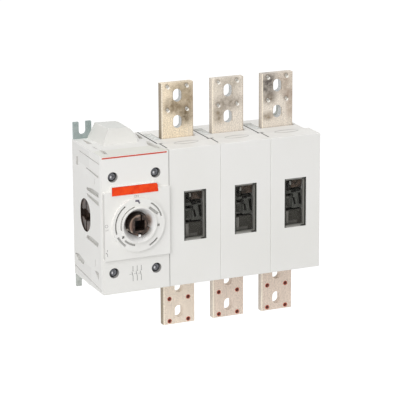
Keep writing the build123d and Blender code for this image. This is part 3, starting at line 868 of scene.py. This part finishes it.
def screwTree():
    # a socket-head screw on a washer, which is painted black as the shade round the head
    tree, start, end = geometryTree("panelScrew", screwSettings)
    out = start.outputs
    headLift = mathNode(tree, "MULTIPLY", -5, 3, out["Head Height"], 0.5)
    head = roundBlock(tree, -3, 3, out["Head Radius"], out["Head Height"], headLift)
    socket = roundBlock(tree, -3, 0, out["Recess Radius"], out["Recess Depth"], out["Head Height"], sides=6)
    washerShade = roundBlock(tree, -3, -3, out["Washer Radius"], out["Washer Height"])
    cut = place(tree, "GeometryNodeMeshBoolean", 0, 2, operation="DIFFERENCE", solver="EXACT")
    join(tree, head, cut.inputs["Mesh 1"])
    join(tree, socket, cut.inputs["Mesh 2"])
    both = place(tree, "GeometryNodeMeshBoolean", 1, 1, operation="UNION", solver="EXACT")
    join(tree, cut.outputs["Mesh"], both.inputs["Mesh 2"])
    join(tree, washerShade, both.inputs["Mesh 2"])
    return scatterShape(tree, start, end, both.outputs["Mesh"])


runTree("panelScrews", screwTree(), screwPlaces, screwSettings, screwSteel)

plugSettings = {"Radius": 2.45 * mm, "Depth": 8.0 * mm}
rimSettings = {"Ring Radius": 2.95 * mm, "Wire Radius": 0.45 * mm}
plugPlaces = [(x + shift, plugY, -z) for x in poleMiddles for shift in holeShifts for z in holeZ]
rimPlaces = [(x, barFront, z) for x, y, z in plugPlaces]


def plugTree():
    tree, start, end = geometryTree("holePlug", plugSettings)
    plug = roundBlock(tree, -3, 2, start.outputs["Radius"], start.outputs["Depth"], sides=24)
    return scatterShape(tree, start, end, plug)


def circleNode(tree, x, y, radius, points):
    node = place(tree, "GeometryNodeCurvePrimitiveCircle", x, y)
    node.inputs["Resolution"].default_value = points
    join(tree, radius, node.inputs["Radius"])
    return node.outputs[0]


def rimTree():
    # a round wire swept along a ring
    tree, start, end = geometryTree("holeRim", rimSettings)
    sweep = place(tree, "GeometryNodeCurveToMesh", -1, 2)
    ring = circleNode(tree, -3, 2, start.outputs["Ring Radius"], points=28)
    wire = circleNode(tree, -3, 0, start.outputs["Wire Radius"], points=8)
    join(tree, ring, sweep.inputs["Curve"])
    join(tree, wire, sweep.inputs["Profile Curve"])
    return scatterShape(tree, start, end, sweep.outputs[0])


runTree("lowerHolePlugs", plugTree(), plugPlaces, plugSettings, plugRed)
runTree("lowerHoleRims", rimTree(), rimPlaces, rimSettings, rimRed)

print("stage: printed marks")

printSettings = {"strokeThickness": 0.12, "strokeSink": 0.05, "wordThickness": 0.1}


def printedStrokes(name, strokes, y, material,
                   thickness=printSettings["strokeThickness"], body="switch"):
    # each stroke is (x0, z0, x1, z1, width) on a plane facing -Y
    shape = bmesh.new()
    for x0, z0, x1, z1, width in strokes:
        along = Vector((x1 - x0, z1 - z0)).normalized()
        side = Vector((-along.y, along.x)) * (width / 2)
        corners = [(x0 - side.x, z0 - side.y), (x1 - side.x, z1 - side.y),
                   (x1 + side.x, z1 + side.y), (x0 + side.x, z0 + side.y)]
        nearY = (y - thickness) * mm
        backY = (y + printSettings["strokeSink"]) * mm
        near = [shape.verts.new((x * mm, nearY, z * mm)) for x, z in corners]
        back = [shape.verts.new((x * mm, backY, z * mm)) for x, z in corners]
        shape.faces.new(near)
        shape.faces.new(back[::-1])
        for i in range(4):
            j = (i + 1) % 4
            shape.faces.new((near[j], near[i], back[i], back[j]))
    bmesh.ops.recalc_face_normals(shape, faces=shape.faces)
    mesh = bpy.data.meshes.new(name)
    shape.to_mesh(mesh)
    shape.free()
    return keepPiece(name, mesh, material, body)


# word, X and Z of its middle, height of its letters and ink
wordSettings = {
    "offMark": ("O", -167.4, 1.6, 6.6, paleInk),
    "offWord": ("OFF", -167.0, -4.4, 3.0, paleInk),
    "onWord": ("ON", -121.8, 41.0, 4.6, greyInk),
}


def printedWord(name, word, x, y, z, size, material):
    curve = bpy.data.curves.new(name, "FONT")
    curve.body = word
    curve.size = size * mm
    curve.align_x = "CENTER"
    curve.align_y = "CENTER"
    curve.extrude = printSettings["wordThickness"] * mm
    host = bpy.data.objects.new(name + "Host", curve)
    scene.collection.objects.link(host)
    mesh = plainMesh(host)
    upright = Matrix.Rotation(math.radians(90), 4, "X")
    mesh.transform(Matrix.Translation((x * mm, y * mm, z * mm)) @ upright)
    return keepPiece(name, mesh, material)


lineSettings = {
    "left": -170.6, "right": -72.1, "z": 99.2, "width": 1.9,
    "dotLeft": -168.6, "dotStep": 1.75, "dotCount": 55, "dotSize": 0.9, "dotDrop": 0.2, "dotLift": 0.08,
}


def redLine():
    settings = lineSettings
    line = (settings["left"], settings["z"], settings["right"], settings["z"], settings["width"])
    printedStrokes("redLine", [line], panelFront, redInk)
    dots = []
    z = settings["z"] - settings["dotDrop"]
    for step in range(settings["dotCount"]):
        x = settings["dotLeft"] + settings["dotStep"] * step
        dots.append((x, z, x + settings["dotSize"], z, settings["dotSize"]))
    printedStrokes("redLineDots", dots, panelFront - settings["dotLift"], dotRed)


symbolSettings = {
    "poles": (-126.0, -119.5, -113.2),
    "pole": ((0.0, -63.5, 0.0, -71.0, 0.9), (-1.6, -72.0, 0.0, -79.0, 0.9), (0.0, -79.0, 0.0, -86.0, 0.9),
             (-1.0, -71.0, 1.0, -71.0, 0.7)),
    "dashes": (-131.4, -128.6, -124.4, -121.8, -117.8, -115.4),
    "dash": (0.0, -75.4, 1.8, -75.4, 0.6),
    "cover": ((-166.7, -33.0, -166.7, -36.0, 0.8), (-168.2, -37.0, -166.7, -40.0, 0.8),
              (-166.7, -40.0, -166.7, -43.0, 0.8), (-169.2, -37.6, -167.4, -37.6, 0.7)),
    "pointer": ((-125.2, 35.8, -119.4, 35.4, 2.9), (-120.6, 35.0, -118.6, 31.4, 2.2)),
    "key": ((-121.6, -15.3, -118.6, -15.3, 3.0),),
    "notchLightThickness": 3.1,
}


def strokesAt(strokes, middles):
    # the same strokes once at each X
    return [(x0 + x, z0, x1 + x, z1, width) for x in middles for x0, z0, x1, z1, width in strokes]


def switchSymbols():
    settings = symbolSettings
    strokes = strokesAt(settings["pole"], settings["poles"])
    strokes += strokesAt([settings["dash"]], settings["dashes"])
    printedStrokes("switchSymbol", strokes, panelFront, greyInk)
    printedStrokes("coverSymbol", settings["cover"], coverFront, greyInk)


redLine()
switchSymbols()
for wordName, (word, x, z, size, ink) in wordSettings.items():
    printedWord(wordName, word, x, coverFront, z, size, ink)
printedStrokes("pointer", symbolSettings["pointer"], dialFront, darkInk)

# a small pale piece, painted light standing in for the light seen in the bottom notch of the front drive,
# which turns with it
printedStrokes("driveNotchLight", symbolSettings["key"], dialFront, coverPlastic,
               symbolSettings["notchLightThickness"], "front_drive")

print("stage: camera, floor and light")

cameraSettings = {
    "lens": 190.32,
    "sensor": 36.0,
    "clipEnd": 60.0,
    "location": (-1.18237, -2.80710, 0.83615),
    "right": (0.91740719, -0.39791629, -0.00516481),
    "up": (0.11111839, 0.2436811, 0.96346885),
    "back": (-0.38212138, -0.88446716, 0.26777062),
}


def addCamera():
    data = bpy.data.cameras.new("photoCamera")
    data.lens = cameraSettings["lens"]
    data.sensor_width = cameraSettings["sensor"]
    data.clip_end = cameraSettings["clipEnd"]
    camera = bpy.data.objects.new("photoCamera", data)
    scene.collection.objects.link(camera)
    turn = Matrix([cameraSettings["right"], cameraSettings["up"], cameraSettings["back"]]).transposed()
    camera.matrix_world = Matrix.Translation(cameraSettings["location"]) @ turn.to_4x4()
    scene.camera = camera


stageSettings = {"floorZ": -1.2, "floorSize": 60.0, "floorWhite": 0.82, "floorGlow": 0.6, "world": 0.55}
white = (1.0, 1.0, 1.0, 1.0)


def seenRays(tree, x, y):
    # 1 for camera, glossy and transmission rays
    path = place(tree, "ShaderNodeLightPath", x, y)
    first = mathNode(tree, "MAXIMUM", x + 1, y, path.outputs["Is Camera Ray"], path.outputs["Is Glossy Ray"])
    return mathNode(tree, "MAXIMUM", x + 2, y, first, path.outputs["Is Transmission Ray"])


def addFloor():
    mesh = bpy.data.meshes.new("floor")
    half = stageSettings["floorSize"] / 2
    z = stageSettings["floorZ"]
    corners = [(-half, -half, z), (half, -half, z), (half, half, z), (-half, half, z)]
    mesh.from_pydata(corners, [], [(0, 1, 2, 3)])
    floor = bpy.data.objects.new("floor", mesh)
    scene.collection.objects.link(floor)
    material, tree, shader, coords = newMaterial("floorWhite", Roughness=0.9, Specular_IOR_Level=0.0)
    shader.inputs["Base Color"].default_value = (*[stageSettings["floorWhite"]] * 3, 1.0)
    shader.inputs["Emission Color"].default_value = white
    glow = mathNode(tree, "MULTIPLY", -1, -2, seenRays(tree, -5, -2), stageSettings["floorGlow"])
    join(tree, glow, shader.inputs["Emission Strength"])
    mesh.materials.append(material)


def addWorld():
    # pure white where it is seen, dimmer as a light
    world = bpy.data.worlds.new("studio")
    scene.world = world
    world.use_nodes = True
    tree = world.node_tree
    shader = tree.nodes["Background"]
    shader.inputs["Color"].default_value = white
    strength = place(tree, "ShaderNodeMapRange", -1, -1)
    join(tree, seenRays(tree, -5, -1), strength.inputs["Value"])
    strength.inputs["To Min"].default_value = stageSettings["world"]
    strength.inputs["To Max"].default_value = 1.0
    join(tree, strength.outputs["Result"], shader.inputs["Strength"])


lightSettings = {
    "keyLight": {"location": (-2.1, -2.5, 1.5), "size": 2.2, "power": 54.5},
    "leftLight": {"location": (-3.2, -0.9, 1.2), "size": 2.2, "power": 6.5},
    "topLight": {"location": (-0.4, -0.6, 3.4), "size": 2.6, "power": 27.0},
}


def addAreaLight(name, settings):
    # a square lamp aimed at the origin
    data = bpy.data.lights.new(name, "AREA")
    data.shape = "SQUARE"
    data.size = settings["size"]
    data.energy = settings["power"]
    lamp = bpy.data.objects.new(name, data)
    scene.collection.objects.link(lamp)
    aim = -Vector(settings["location"])
    turn = aim.to_track_quat("-Z", "Y").to_matrix().to_4x4()
    lamp.matrix_world = Matrix.Translation(settings["location"]) @ turn


addCamera()
addFloor()
addWorld()
for lightName, settings in lightSettings.items():
    addAreaLight(lightName, settings)

bpy.context.scene.view_settings.view_transform = "Standard"

print("stage: done")
